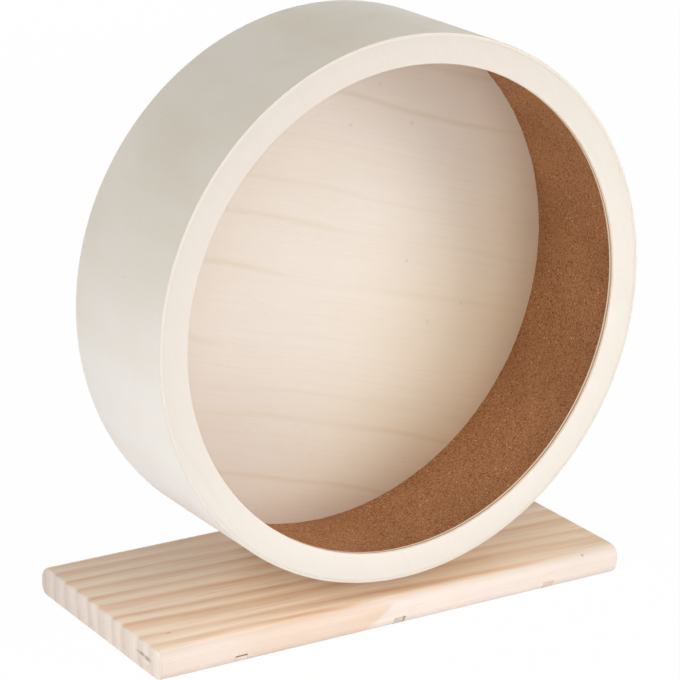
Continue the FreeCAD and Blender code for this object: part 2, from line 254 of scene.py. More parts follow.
def makeFloor():
    bm = bmesh.new()
    bmesh.ops.create_grid(bm, x_segments=1, y_segments=1, size=0.5 * studio["floorSize"])
    bmesh.ops.translate(bm, verts=bm.verts, vec=(0.0, 0.0, -studio["floorDrop"]))
    floor = addMesh("floor", bm)

    material, tree = newMaterial("floorPaper")[:2]
    shader = tree.nodes["Principled BSDF"]
    for key, value in studio["paper"].items():
        shader.inputs[key].default_value = value
    plain = addNode(tree, "Emission", {"Color": white, "Strength": 1.0})
    share = times(tree, seenRays(tree), studio["floorWhite"])
    both = addNode(tree, "MixShader", {0: share, 1: shader.outputs[0], 2: plain.outputs[0]})
    tree.links.new(both.outputs[0], tree.nodes["Material Output"].inputs["Surface"])
    floor.data.materials.append(material)


def makeLight():
    world = bpy.data.worlds.new("studio")
    scene.world = world
    world.use_nodes = True
    tree = world.node_tree
    height = axesOf(tree, addNode(tree, "TexCoord").outputs["Generated"])["Z"]
    sky = spread(tree, height, *studio["skyHeights"], *studio["skyLevels"])
    strength = addNode(tree, "Mix", {0: seenRays(tree), 2: sky, 3: 1.0}, data_type="FLOAT").outputs[0]
    background = tree.nodes["Background"]
    background.inputs["Color"].default_value = white
    tree.links.new(strength, background.inputs["Strength"])

    for name, lamp in studio["lamps"].items():
        data = bpy.data.lights.new(name, "AREA")
        data.shape = "RECTANGLE"
        data.size, data.size_y = lamp["size"], lamp.get("height", lamp["size"])
        data.energy = lamp["power"]
        data.color = lamp.get("tint", white[:3])
        data.spread = radians(lamp.get("spread", 180.0))
        made = addObject(name, data)
        made.visible_camera = False
        place = Vector(lamp["place"])
        look = (Vector(lamp["aim"]) - place).to_track_quat("-Z", "Y").to_matrix().to_4x4()
        made.matrix_world = Matrix.Translation(place) @ look


scene.view_settings.view_transform = "Standard"
setCamera()
makeFloor()
makeLight()
print("camera, floor and light set")


# shared effects; a span says from where to where a mask goes from 0 to 1, or between two other levels

veneer = {
    "crowding": 34.0, "swayBy": 0.036, "finer": 3.7,
    "sway": (4.5, 10.0, 2.0, 0.45), "patch": (6.0, 16.0, 1.0), "dash": (150.0, 1500.0, 1.0),
    "clump": (20.0, 30.0, 1.0), "cloud": (5.0, 15.0, 3.0, 0.55), "fibre": (28.0, 900.0, 3.0, 0.6),
    "lineSpan": (0.1, 0.0), "linePatch": (0.36, 0.66), "finerSpan": (0.16, 0.0),
    "finerPatch": (0.62, 0.34, 0.0, 0.22), "dashSpan": (0.66, 0.78), "clumpSpan": (0.42, 0.62),
}


def makeVeneerFigure():
    # grain along X of the vector it is given, in metres
    tree, given = newGroup("veneerFigure", Vector=None, Crowding=veneer["crowding"])
    vector = given["Vector"]

    def grain(key):
        return streaks(tree, vector, *veneer[key])

    def crossings(places):
        return addNode(tree, "TexVoronoi", {"W": places, "Scale": 1.0}, voronoi_dimensions="1D",
                       feature="DISTANCE_TO_EDGE").outputs["Distance"]
    sway = grain("sway")
    across = swayed(tree, axesOf(tree, vector)["Y"], sway, veneer["swayBy"])
    places = times(tree, across, given["Crowding"])
    patch = grain("patch")
    lines = spread(tree, crossings(places), *veneer["lineSpan"])
    lines = times(tree, lines, spread(tree, patch, *veneer["linePatch"]))
    closer = times(tree, places, veneer["finer"])
    finer = spread(tree, crossings(closer), *veneer["finerSpan"])
    finer = times(tree, finer, spread(tree, patch, *veneer["finerPatch"]))
    dashes = spread(tree, grain("dash"), *veneer["dashSpan"])
    clumps = spread(tree, grain("clump"), *veneer["clumpSpan"])
    return endGroup(
        tree, Lines=calc(tree, "MAXIMUM", lines, finer),
        Cloud=grain("cloud"),
        Fibre=grain("fibre"),
        Flecks=times(tree, dashes, clumps),
    )


growth = {
    "sway": (7.0, 26.0), "swayBy": 0.009, "fine": (30.0, 180.0, 2.0, 0.6), "fineBy": 0.0022,
    "fade": (11.0, 60.0), "fibre": (14.0, 650.0, 3.0, 0.65), "duct": (110.0, 2200.0, 1.0),
    "cloud": (6.0, 22.0), "ductSpan": (0.66, 0.8), "firstYear": 40.0, "yearScale": 0.55, "yearBy": 1.1,
    # late wood darkens slowly through a year and pales again within a third of the next
    "rise": (0.36, 1.0), "fall": (0.3, 0.0), "lateFade": (0.25, 0.7, 0.55, 1.0),
    "lineRise": (0.86, 0.98), "lineFall": (0.08, 0.0), "lineFade": (0.35, 0.7),
    "thinCount": 4.0, "thinSway": 2.0, "thinRise": (0.55, 0.92), "thinFall": (1.0, 0.93),
    "thinFade": (0.35, 0.62),
}


def makeGrowthRings():
    # rings met along Y of the vector, grain along X
    tree, given = newGroup("growthRings", Vector=None, Spacing=0.0158, Offset=0.0, Drift=0.06,
                           Fan=-0.33, Lean=-0.09)
    vector = given["Vector"]

    def grain(key):
        return streaks(tree, vector, *growth[key])
    axes = axesOf(tree, vector)
    slant = calc(tree, "MULTIPLY_ADD", axes["Y"], given["Fan"], given["Drift"])
    across = calc(tree, "MULTIPLY_ADD", axes["X"], slant, axes["Y"])
    across = calc(tree, "MULTIPLY_ADD", axes["Z"], given["Lean"], across)
    across = swayed(tree, across, grain("sway"), growth["swayBy"])
    fine = grain("fine")
    across = calc(tree, "SUBTRACT", swayed(tree, across, fine, growth["fineBy"]), given["Offset"])
    count = calc(tree, "ADD", calc(tree, "DIVIDE", across, given["Spacing"]), growth["firstYear"])
    years = noiseAt(tree, joined(tree, count), growth["yearScale"], 1.0)
    count = swayed(tree, count, years, growth["yearBy"])
    phase = calc(tree, "FRACT", count)
    fade = grain("fade")

    def band(place, rise, fall, fader, key, join="MAXIMUM"):
        both = calc(tree, join, spread(tree, place, *growth[rise]), spread(tree, place, *growth[fall]))
        return times(tree, both, spread(tree, fader, *growth[key]))
    within = times(tree, count, growth["thinCount"])
    within = calc(tree, "FRACT", calc(tree, "MULTIPLY_ADD", fade, growth["thinSway"], within))
    return endGroup(
        tree, Late=band(phase, "rise", "fall", fade, "lateFade"),
        Line=band(phase, "lineRise", "lineFall", fade, "lineFade"),
        Fibre=grain("fibre"),
        Ducts=spread(tree, grain("duct"), *growth["ductSpan"]),
        Cloud=grain("cloud"),
        Fine=band(within, "thinRise", "thinFall", fine, "thinFade", "MULTIPLY"),
    )


smudges = {"noise": (3.0, 0.55, 0.4), "span": (0.4, 0.72)}


def makeHandling():
    # soft smudges, the same kind on the plywood, the bent skin and the pine
    tree, given = newGroup("handling", Vector=None, Scale=18.0)
    broad = noiseAt(tree, given["Vector"], given["Scale"], *smudges["noise"])
    return endGroup(tree, Smudge=spread(tree, broad, *smudges["span"]))


def makePinKnot():
    # a soft dark dot at a place, longer along X of the vector
    tree, given = newGroup("pinKnot", Vector=None, Place=None, Size=0.001, Stretch=1.0)
    inputs = {0: given["Vector"], 1: given["Place"]}
    axes = axesOf(tree, addNode(tree, "VectorMath", inputs, operation="SUBTRACT").outputs[0])
    along = calc(tree, "DIVIDE", axes["X"], given["Stretch"])
    away = calc(tree, "DIVIDE", lengthOf(tree, joined(tree, along, axes["Y"], axes["Z"])), given["Size"])
    return endGroup(tree, Mask=spread(tree, away, 1.0, 0.0))


turning = {"rough": 0.6, "dullScale": 190.0, "dullSpan": (0.36, 0.7)}


def makeMachining():
    # fine turning marks and dull patches on small steel parts
    tree, given = newGroup("machining", Vector=None, Marks=2600.0)
    axes = axesOf(tree, given["Vector"])
    radius = lengthOf(tree, joined(tree, axes["X"], 0.0, axes["Z"]))
    rings = noiseAt(tree, joined(tree, radius, axes["Y"]), given["Marks"], rough=turning["rough"])
    dull = noiseAt(tree, given["Vector"], turning["dullScale"])
    return endGroup(tree, Rings=rings, Dull=spread(tree, dull, *turning["dullSpan"]))


veneerFigure = makeVeneerFigure()
growthRings = makeGrowthRings()
handling = makeHandling()
pinKnot = makePinKnot()
machining = makeMachining()
print("shared effects made")


def spotted(tree, vector, spots):
    # each spot has a place, a size, a length over that size and a strength
    mask = 0.0
    for place, size, stretch, share in spots:
        inputs = {"Vector": vector, "Place": place, "Size": size, "Stretch": stretch}
        one = useGroup(tree, pinKnot, inputs)["Mask"]
        mask = calc(tree, "MAXIMUM", mask, times(tree, one, share))
    return mask


def facing(tree, coords, axis):
    return calc(tree, "ABSOLUTE", axesOf(tree, coords["Normal"])[axis])


# finishes; a pair is a share and its paint

plywood = {
    "frontRing": {
        "base": colour(219, 211, 201), "line": colour(208, 196, 181), "lineShare": 0.16, "fibre": 0.01,
        "grainTurn": 62.0, "shift": (0.31, 0.0, 0.12), "plies": 3, "knots": [(0.1452, 0.2179, 0.0016)],
        # painted shade: the ring's face and its lines turn darker towards its upper left
        "paintedShadeWay": (-0.5, 0.0, 0.86), "paintedShadeSpan": (0.04, 0.3), "paintedShadeColour": colour(209, 200, 190),
        "paintedShadeLine": colour(199, 187, 172), "glueFade": (0.24, 0.1),
    },
    "backDisc": {
        "base": colour(232, 223, 212), "line": colour(214, 194, 166), "lineShare": 0.38,
        "fibre": 0.018, "grainTurn": 15.5, "shift": (0.0, 0.0, 0.0), "plies": 3,
        "knots": [(0.018, 0.287, 0.0022), (0.062, 0.283, 0.0024), (0.038, 0.31, 0.0018),
                  (0.061, 0.196, 0.002), (0.078, 0.154, 0.0022), (0.103, 0.162, 0.0018)],
        "paintedShadeWay": (0.86, 0.0, -0.5), "paintedShadeSpan": (-0.1, 0.12),  # painted shade: warmer and darker towards the lower right, where the cork wall meets the disc
        "paintedShadeColour": colour(232, 212, 177), "paintedShadeLine": colour(212, 184, 142), "glueFade": (0.3, 0.1),
    },
    "hubBlock": {
        "base": colour(238, 227, 212), "line": colour(216, 190, 162), "lineShare": 0.6,
        "fibre": 0.035, "grainTurn": -30.0, "shift": (0.5, 0.0, 0.2), "plies": 7, "knots": [],
        "glueFade": (0.4, 0.22),
    },
}
plyFace = {
    "fleck": (0.22, colour(186, 156, 122)), "knot": (0.22, colour(170, 136, 106)),
    "smudge": (0.05, colour(214, 206, 196)), "smudgeScale": 14.0, "cloudSpan": (0.3, 0.72),
    "cloudShare": 0.08, "cloudPerLine": 0.3, "fibreSpan": (0.3, 0.74), "fibreLift": 0.4,
    "flatSpan": (0.45, 0.62), "roughSpan": (0.2, 0.8, 0.5, 0.64), "gloss": 0.35, "fleckHeight": -0.6,
    "bump": (0.25, 0.12 * mm),
}
plyEdge = {
    "glue": colour(132, 96, 66), "core": colour(198, 166, 130), "outer": colour(250, 236, 214),
    "coreHalf": 0.3, "coreSoft": 0.05, "glueSpan": (0.13, 0.03), "glueShares": (0.36, 0.85),
    "wobble": 0.35 * mm, "wobbleScale": 60.0, "poreScale": (900.0, 3000.0, 900.0),
    "poreSpan": (0.5, 0.75, 0.0, 0.14),
}


def makePlywood(name, low, high):
    look, top, cut = plywood[name], plyFace, plyEdge
    material, tree, coords = newMaterial(name + "Plywood")
    place = coords["Object"]
    grain = axesOf(tree, mapped(tree, place, turn=(0.0, -look["grainTurn"], 0.0), shift=look["shift"]))
    sheet = joined(tree, grain["X"], grain["Z"], grain["Y"])
    figure = useGroup(tree, veneerFigure, {"Vector": sheet})
    marks = useGroup(tree, handling, {"Vector": place, "Scale": top["smudgeScale"]})

    pale, line = look["base"], look["line"]
    # painted shade: where a plywood has it, the face and its lines shift along one direction to a darker,
    # shaded colour
    if "paintedShadeWay" in look:
        side = addNode(tree, "VectorMath", {0: place, 1: look["paintedShadeWay"]}, operation="DOT_PRODUCT")
        paintedShade = spread(tree, side.outputs["Value"], *look["paintedShadeSpan"])
        pale = mixColour(tree, paintedShade, pale, look["paintedShadeColour"])
        line = mixColour(tree, paintedShade, line, look["paintedShadeLine"])
    face = tinted(tree, pale, figure["Lines"], look["lineShare"], line)
    cloudy = top["cloudPerLine"] * look["lineShare"] + top["cloudShare"]
    face = mixColour(tree, spread(tree, figure["Cloud"], *top["cloudSpan"], 0.0, cloudy), face, line)
    light, dark = 1.0 + top["fibreLift"] * look["fibre"], 1.0 - look["fibre"]
    face = shaded(tree, face, spread(tree, figure["Fibre"], *top["fibreSpan"], light, dark))
    face = tinted(tree, face, figure["Flecks"], *top["fleck"])
    face = tinted(tree, face, marks["Smudge"], *top["smudge"])
    knots = spotted(tree, place, [((x, low.y, z), size, 1.0, 1.0) for x, z, size in look["knots"]])
    face = tinted(tree, face, knots, *top["knot"])

    # the cut edge shows the plies by their depth in the sheet
    axes = axesOf(tree, place)
    wave = noiseAt(tree, place, cut["wobbleScale"])
    depth = swayed(tree, axes["Y"], wave, cut["wobble"])
    layers = spread(tree, depth, low.y, high.y, kind="LINEAR")
    count = times(tree, layers, float(look["plies"]))
    # every second ply is a thin dark core between two glue lines
    fromCore = calc(tree, "MODULO", calc(tree, "ADD", count, 1.5), 2.0)
    fromCore = calc(tree, "ABSOLUTE", calc(tree, "SUBTRACT", fromCore, 1.0))
    half, soft = cut["coreHalf"], cut["coreSoft"]
    core = spread(tree, fromCore, half + soft, half - soft)
    ply = mixColour(tree, core, cut["outer"], cut["core"])
    fromGlue = calc(tree, "ABSOLUTE", calc(tree, "SUBTRACT", fromCore, half))
    strong = spread(tree, axes["Z"], *look["glueFade"], *cut["glueShares"])
    ply = tinted(tree, ply, spread(tree, fromGlue, *cut["glueSpan"]), strong, cut["glue"])
    pores = noiseAt(tree, mapped(tree, place, scale=cut["poreScale"]), 1.0)
    ply = washed(tree, ply, pores, cut["poreSpan"], cut["glue"])

    wood = washed(tree, ply, facing(tree, coords, "Y"), top["flatSpan"], face)
    relief = calc(tree, "MULTIPLY_ADD", figure["Flecks"], top["fleckHeight"], figure["Fibre"])
    dress(tree, top, wood, figure["Fibre"], relief)
    return material


bentSkin = {
    "base": colour(242, 234, 221), "edge": colour(212, 203, 191), "cloudSpan": (0.35, 0.75, 0.0, 0.65),
    "band": (0.12, colour(234, 224, 202)), "blotch": (0.4, colour(237, 227, 208)), "blotchScale": 16.0,
    "fleck": (0.16, colour(176, 158, 136)), "dash": (0.45, colour(140, 124, 104)), "gloss": 0.35,
    "dashes": [((-0.0015, 0.0225, 0.3614), 0.0013, 2.5, 1.0)], "fibreSpan": (0.28, 0.76, 1.003, 0.99),
    "edgeSpan": (0.15, 0.5), "roughSpan": (0.0, 1.0, 0.46, 0.58), "bump": (0.08, 0.1 * mm),
}


def makeBentSkin():
    look = bentSkin
    material, tree, coords = newMaterial("bentSkin")
    axes = axesOf(tree, coords["Object"])
    # grain runs across the drum, along the axle
    along = joined(tree, axes["Y"], axes["X"], axes["Z"])
    figure = useGroup(tree, veneerFigure, {"Vector": along})
    marks = useGroup(tree, handling, {"Vector": coords["Object"], "Scale": look["blotchScale"]})
    skin = washed(tree, look["base"], figure["Cloud"], look["cloudSpan"], look["band"][1])
    skin = tinted(tree, skin, figure["Lines"], *look["band"])
    skin = tinted(tree, skin, marks["Smudge"], *look["blotch"])
    skin = shaded(tree, skin, spread(tree, figure["Fibre"], *look["fibreSpan"]))
    skin = tinted(tree, skin, figure["Flecks"], *look["fleck"])
    skin = tinted(tree, skin, spotted(tree, along, look["dashes"]), *look["dash"])
    skin = washed(tree, skin, facing(tree, coords, "Y"), look["edgeSpan"], look["edge"])
    dress(tree, look, skin, marks["Smudge"], figure["Fibre"])
    return material


cork = {
    "dark": colour(128, 83, 52), "mid": colour(178, 125, 84), "pale": colour(197, 146, 104),
    "fleck": colour(218, 177, 137), "spark": colour(240, 206, 166), "pit": colour(92, 56, 34),
    "grain": 1150.0, "crumb": 2100.0, "speck": 400.0, "cloud": 26.0, "wander": 0.8 * mm, "wanderScale": 700.0,
    "paleSpan": (0.3, 1.0), "darkSpan": (0.22, 0.02, 0.0, 0.7), "binderSpan": (0.55, 0.95, 0.0, 0.24),
    "crumbDark": (0.84, 0.98, 0.0, 0.62), "crumbPale": (0.1, 0.02, 0.0, 0.8), "dotSpan": (0.3, 0.16),
    "sparkSpan": (0.88, 0.92, 0.0, 0.75), "pitSpan": (0.86, 0.9, 0.0, 0.7),
    "cloudSpan": (0.35, 0.7, 0.0, 0.22), "roughSpan": (0.0, 1.0, 0.96, 0.82), "gloss": 0.2,
    "crumbHeight": 0.35, "bump": (0.7, 0.35 * mm),
}


def makeCork():
    material, tree, coords = newMaterial("pressedCork")
    place = coords["Object"]

    def cells(vector, scale):
        made = addNode(tree, "TexVoronoi", {"Vector": vector, "Scale": scale}).outputs
        return made["Distance"], addNode(tree, "SeparateColor", {0: made["Color"]}).outputs
    bent = noiseAt(tree, place, cork["wanderScale"])
    inputs = {0: joined(tree, bent, bent, bent), 1: (cork["wander"],) * 3, 2: place}
    wander = addNode(tree, "VectorMath", inputs, operation="MULTIPLY_ADD").outputs[0]
    fromGrain, shades = cells(wander, cork["grain"])
    shade = shades[0]
    crumb = cells(wander, cork["crumb"])[1][1]
    fromSpeck, chance = cells(place, cork["speck"])
    dot = spread(tree, fromSpeck, *cork["dotSpan"])
    body = washed(tree, cork["mid"], shade, cork["paleSpan"], cork["pale"])
    body = washed(tree, body, shade, cork["darkSpan"], cork["dark"])
    body = washed(tree, body, fromGrain, cork["binderSpan"], cork["dark"])
    body = washed(tree, body, crumb, cork["crumbDark"], cork["dark"])
    body = washed(tree, body, crumb, cork["crumbPale"], cork["fleck"])
    body = tinted(tree, body, dot, spread(tree, chance[0], *cork["sparkSpan"]), cork["spark"])
    body = tinted(tree, body, dot, spread(tree, chance[1], *cork["pitSpan"]), cork["pit"])
    body = washed(tree, body, noiseAt(tree, place, cork["cloud"]), cork["cloudSpan"], cork["dark"])
    depth = calc(tree, "MULTIPLY_ADD", crumb, cork["crumbHeight"], fromGrain)
    dress(tree, cork, body, shade, times(tree, depth, -1.0))
    return material


pine = {
    "baseBoard": {
        "early": colour(252, 231, 207), "late": colour(230, 188, 148), "line": colour(200, 150, 110),
        "end": colour(252, 235, 218), "endLine": colour(208, 186, 164), "lay": {},
        "offset": -0.076, "alongAxis": "X", "sideAxis": "Y",
        "side": colour(226, 212, 201), "flame": colour(219, 193, 171), "acrossAxis": "Z",
        "flameTip": (-0.003, 0.0155), "flameSlopes": (0.06, 0.64), "flameSoft": 0.0019,
        "flameFade": (-0.125, -0.09, 0.35, 1.0),
        "knots": [((-0.145, -0.0515, 0.019), 0.0012, 2.6, 1.0), ((0.138, -0.0724, 0.0172), 0.0017, 1.0, 1.0)],
        "stains": [((-0.052, 0.0106, 0.0), 0.0019, 4.5, 1.0), ((-0.059, 0.01, 0.0), 0.0022, 3.6, 1.0),
                   ((-0.0595, 0.0046, 0.0), 0.003, 0.45, 0.5)],  # placed by y and z of the end
    },
    "rearUpright": {
        "early": colour(244, 224, 200), "late": colour(222, 176, 134), "line": colour(194, 140, 96),
        "end": colour(222, 198, 172), "endLine": colour(186, 152, 120),
        "lay": {"turn": (0.0, 90.0, 0.0), "shift": (0.0, 0.021, 0.0)}, "offset": 0.004,
        "alongAxis": "Z", "sideAxis": "X",
        "side": colour(238, 218, 196), "flame": colour(228, 194, 160), "acrossAxis": "Y",
        "flameTip": (0.2, 0.05), "flameSlopes": (0.1, 0.14), "flameSoft": 0.0015,
        "flameFade": (0.03, 0.1, 0.2, 1.0),
        "knots": [((0.012, 0.0608, 0.088), 0.0026, 1.2, 1.0)], "stains": [],
    },
}
pineMarks = {
    "late": 0.9, "line": 0.24, "fine": 0.2, "cloudSpan": (0.4, 0.72, 0.0, 0.22), "ducts": 0.3,
    "fibreSpan": (0.28, 0.76, 1.035, 0.925), "sideSpan": (0.24, 0.7), "sideFine": 0.1, "sideFibre": 0.6,
    "flameCloud": (0.3, 0.62, 0.6, 1.0), "endSpan": (0.38, 0.64), "endLate": 0.4, "endLine": 0.16,
    "lateOnEnd": -0.3,  # late wood keeps the look of the face further round the eased end
    "poreScale": 1500.0, "poreRough": 0.6, "poreSpan": (0.45, 0.75, 0.0, 0.14),
    "knot": (0.55, colour(140, 104, 74)), "stain": (0.85, colour(150, 128, 98)), "stainSide": (-0.3, -0.7),
    "stainNoise": (420.0, 3.0, 0.65), "stainSpan": (0.34, 0.58, 0.45, 1.0),
    "smudge": (0.08, colour(190, 168, 146)), "smudgeScale": 20.0, "roughSpan": (0.0, 1.0, 0.62, 0.5),
    "gloss": 0.35, "lateHeight": 1.2, "bump": (0.3, 0.18 * mm),
}


def makePine(name):
    look, share = pine[name], pineMarks
    material, tree, coords = newMaterial(name + "Pine")
    place = coords["Object"]
    axes = axesOf(tree, place)
    grain = mapped(tree, place, **look["lay"])
    rings = useGroup(tree, growthRings, {"Vector": grain, "Offset": look["offset"]})
    marks = useGroup(tree, handling, {"Vector": place, "Scale": share["smudgeScale"]})
    wood = tinted(tree, look["early"], rings["Late"], share["late"], look["late"])
    wood = tinted(tree, wood, rings["Line"], share["line"], look["line"])
    wood = tinted(tree, wood, rings["Fine"], share["fine"], look["line"])
    wood = washed(tree, wood, rings["Cloud"], share["cloudSpan"], look["late"])

    # long edges: paler, with a flame, a warm tongue that widens from its tip
    along, across = axes[look["alongAxis"]], axes[look["acrossAxis"]]
    (tipAlong, tipAcross), (rise, fall), soft = look["flameTip"], look["flameSlopes"], look["flameSoft"]
    behind = calc(tree, "SUBTRACT", tipAlong, along)
    off = calc(tree, "SUBTRACT", across, tipAcross)
    under = calc(tree, "SUBTRACT", times(tree, behind, rise), off)
    over = calc(tree, "MULTIPLY_ADD", behind, fall, off)
    flame = times(tree, spread(tree, under, -soft, soft), spread(tree, over, -soft, soft))
    flame = times(tree, flame, spread(tree, along, *look["flameFade"]))
    flame = times(tree, flame, spread(tree, rings["Cloud"], *share["flameCloud"]))
    flame = calc(tree, "MAXIMUM", flame, times(tree, rings["Fine"], share["sideFine"]))
    side = mixColour(tree, flame, look["side"], look["flame"])
    edge = spread(tree, facing(tree, coords, look["sideAxis"]), *share["sideSpan"])
    wood = mixColour(tree, edge, wood, side)

    # fibres show less on the long edges
    fibre = spread(tree, rings["Fibre"], *share["fibreSpan"])
    calm = times(tree, edge, share["sideFibre"])
    fibre = calc(tree, "MULTIPLY_ADD", calc(tree, "SUBTRACT", 1.0, fibre), calm, fibre)
    wood = shaded(tree, wood, fibre)
    wood = tinted(tree, wood, rings["Ducts"], share["ducts"], look["line"])
    wood = tinted(tree, wood, spotted(tree, place, look["knots"]), *share["knot"])

    # end grain: paler and greyer, with open pores, and stained round its checks
    cutEnd = tinted(tree, look["end"], rings["Late"], share["endLate"], look["endLine"])
    for ring in ("Line", "Fine"):
        cutEnd = tinted(tree, cutEnd, rings[ring], share["endLine"], look["endLine"])
    pores = noiseAt(tree, place, share["poreScale"], rough=share["poreRough"])
    cutEnd = washed(tree, cutEnd, pores, share["poreSpan"], look["endLine"])
    stains = spotted(tree, joined(tree, axes["Y"], axes["Z"]), look["stains"])
    broken = spread(tree, noiseAt(tree, place, *share["stainNoise"]), *share["stainSpan"])
    left = spread(tree, axesOf(tree, coords["Normal"])["X"], *share["stainSide"])
    stains = times(tree, times(tree, stains, broken), left)
    cutEnd = tinted(tree, cutEnd, stains, *share["stain"])
    end = facing(tree, coords, look["alongAxis"])
    end = calc(tree, "MULTIPLY_ADD", rings["Late"], share["lateOnEnd"], end)
    wood = washed(tree, wood, end, share["endSpan"], cutEnd)
    wood = tinted(tree, wood, marks["Smudge"], *share["smudge"])
    relief = calc(tree, "MULTIPLY_ADD", rings["Late"], share["lateHeight"], rings["Fibre"])
    dress(tree, share, wood, rings["Late"], relief)
    return material


battenWoodAndShade = {  # pale, streak, end; the tones differ from batten to batten as painted shade over the wood's own colour, the middle batten greyest
    "leftBatten": (colour(226, 205, 184), colour(190, 160, 132), colour(234, 219, 205)),
    "middleBatten": (colour(212, 198, 184), colour(176, 156, 136), colour(205, 196, 190)),
    "rightBatten": (colour(222, 202, 182), colour(194, 166, 142), colour(218, 199, 190)),
}
battenRings = {"Spacing": 2.1 * mm, "Drift": 0.0, "Lean": 0.35}
battenMarks = {
    "late": 0.55, "endLate": 0.15, "endSpan": (0.3, 0.6), "poreScale": 2200.0, "poreRough": 0.6,
    "poreSpan": (0.42, 0.72, 0.0, 0.22), "fibreSpan": (0.28, 0.76, 1.02, 0.92),
    "roughSpan": (0.2, 0.8, 0.55, 0.72), "gloss": 0.3, "bump": (0.3, 0.15 * mm),
}


def makeBattenWoodAndShade(name):
    (pale, streak, end), share = battenWoodAndShade[name], battenMarks
    material, tree, coords = newMaterial(name + "Wood")
    place = coords["Object"]
    axes = axesOf(tree, place)
    along = joined(tree, axes["Y"], axes["X"], axes["Z"])
    rings = useGroup(tree, growthRings, {"Vector": along, **battenRings})
    # painted shade: each batten's pale, streak and end colours also stand in for the shade in the notches
    # under the board
    wood = tinted(tree, pale, rings["Late"], share["late"], streak)
    cutEnd = tinted(tree, end, rings["Late"], share["endLate"], streak)
    pores = noiseAt(tree, place, share["poreScale"], rough=share["poreRough"])
    cutEnd = washed(tree, cutEnd, pores, share["poreSpan"], streak)
    wood = washed(tree, wood, facing(tree, coords, "Y"), share["endSpan"], cutEnd)
    wood = shaded(tree, wood, spread(tree, rings["Fibre"], *share["fibreSpan"]))
    dress(tree, share, wood, rings["Fibre"], rings["Fibre"])
    return material


metals = {  # bright, dull, turning marks, roughness from and to
    "zincSteel": (colour(186, 189, 191), colour(166, 169, 172), 2600.0, (0.28, 0.42)),
    "nutSteel": (colour(156, 159, 163), colour(132, 135, 140), 1900.0, (0.24, 0.4)),
    "bearingSteel": (colour(206, 207, 208), colour(178, 180, 183), 4200.0, (0.12, 0.24)),
    "pressedSteel": (colour(190, 191, 192), colour(150, 152, 155), 1500.0, (0.24, 0.38)),
}
steelMarks = {
    "lineSpan": (0.3, 0.75, 1.0, 0.93), "lineWear": 0.35, "wornSpan": (0.1, 1.2), "gloss": 0.5,
    "metal": 1.0, "bump": (0.15, 0.03 * mm),
}


def makeSteel(name):
    bright, dull, lines, rough = metals[name]
    look = {**steelMarks, "roughSpan": steelMarks["wornSpan"] + rough}
    material, tree, coords = newMaterial(name)
    centred = mapped(tree, coords["Object"], shift=(-axle.x, 0.0, -axle.z))
    marks = useGroup(tree, machining, {"Vector": centred, "Marks": lines})
    tint = mixColour(tree, marks["Dull"], bright, dull)
    tint = shaded(tree, tint, spread(tree, marks["Rings"], *look["lineSpan"]))
    worn = calc(tree, "MULTIPLY_ADD", marks["Rings"], look["lineWear"], marks["Dull"])
    dress(tree, look, tint, worn, marks["Rings"])
    return material


nylon = {
    "base": colour(226, 226, 219), "shade": colour(206, 206, 198), "cloud": 260.0, "grain": 2400.0,
    "shadeSpan": (0.35, 0.7), "roughSpan": (0.3, 0.7, 0.34, 0.46), "gloss": 0.5, "bump": (0.1, 0.04 * mm),
}


def makeNylon():
    material, tree, coords = newMaterial("nylonInsert")
    place = coords["Object"]
    cloud = noiseAt(tree, place, nylon["cloud"])
    paint = washed(tree, nylon["base"], cloud, nylon["shadeSpan"], nylon["shade"])
    dress(tree, nylon, paint, cloud, noiseAt(tree, place, nylon["grain"], 1.0))
    return material


ringPlywood = makePlywood("frontRing", *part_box("front_ring"))
discPlywood = makePlywood("backDisc", *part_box("back_disc"))
hubPlywood = makePlywood("hubBlock", *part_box("hub_block"))
skinWood = makeBentSkin()
corkSheet = makeCork()
boardPine = makePine("baseBoard")
postPine = makePine("rearUpright")
steel = {name: makeSteel(name) for name in metals}
nylonInsert = makeNylon()
print("finishes made")


# mesh helpers

smoothTo = 32.0  # degrees between faces that still look smooth


def fillHoles(bm):
    bmesh.ops.holes_fill(bm, edges=[e for e in bm.edges if e.is_boundary], sides=0)


def lathe(bm, profile, steps, turn=tau, start=0.0, closed=True):
    # profile holds the (radius, y) corners of an outline
    loop = [bm.verts.new((axle.x + r * cos(start), y, axle.z + r * sin(start))) for r, y in profile]
    edges = [bm.edges.new(pair) for pair in zip(loop, loop[1:] + (loop[:1] if closed else []))]
    bmesh.ops.spin(bm, geom=loop + edges, cent=axle, axis=(0.0, -1.0, 0.0), angle=turn,
                   steps=steps, use_merge=turn == tau)
    if turn != tau or not closed:
        fillHoles(bm)
    bmesh.ops.recalc_face_normals(bm, faces=bm.faces)


def sleeve(outer, inner, low, high):
    return [(outer, low.y), (outer, high.y), (inner, high.y), (inner, low.y)]


def thicken(bm, way):
    made = bmesh.ops.extrude_face_region(bm, geom=bm.faces[:])["geom"]
    bmesh.ops.translate(bm, verts=[g for g in made if isinstance(g, bmesh.types.BMVert)], vec=way)
    bmesh.ops.recalc_face_normals(bm, faces=bm.faces)


def fromAxle(point):
    return Vector((point.x - axle.x, point.z - axle.z)).length


def circleEdges(bm, radius, y):
    def on(vert):
        return abs(vert.co.y - y) < tiny and abs(fromAxle(vert.co) - radius) < tiny
    return [e for e in bm.edges if on(e.verts[0]) and on(e.verts[1])]


def edgesAcross(bm, axis):
    # the edges whose two ends have the same x, axis 0, or the same y, axis 1
    return [e for e in bm.edges if abs(e.verts[0].co[axis] - e.verts[1].co[axis]) < tiny]


def ease(bm, edges, offset, segments):
    bmesh.ops.bevel(bm, geom=edges, offset=offset, offset_type="OFFSET", segments=segments,
                    profile=0.5, affect="EDGES", material=-1, clamp_overlap=True)


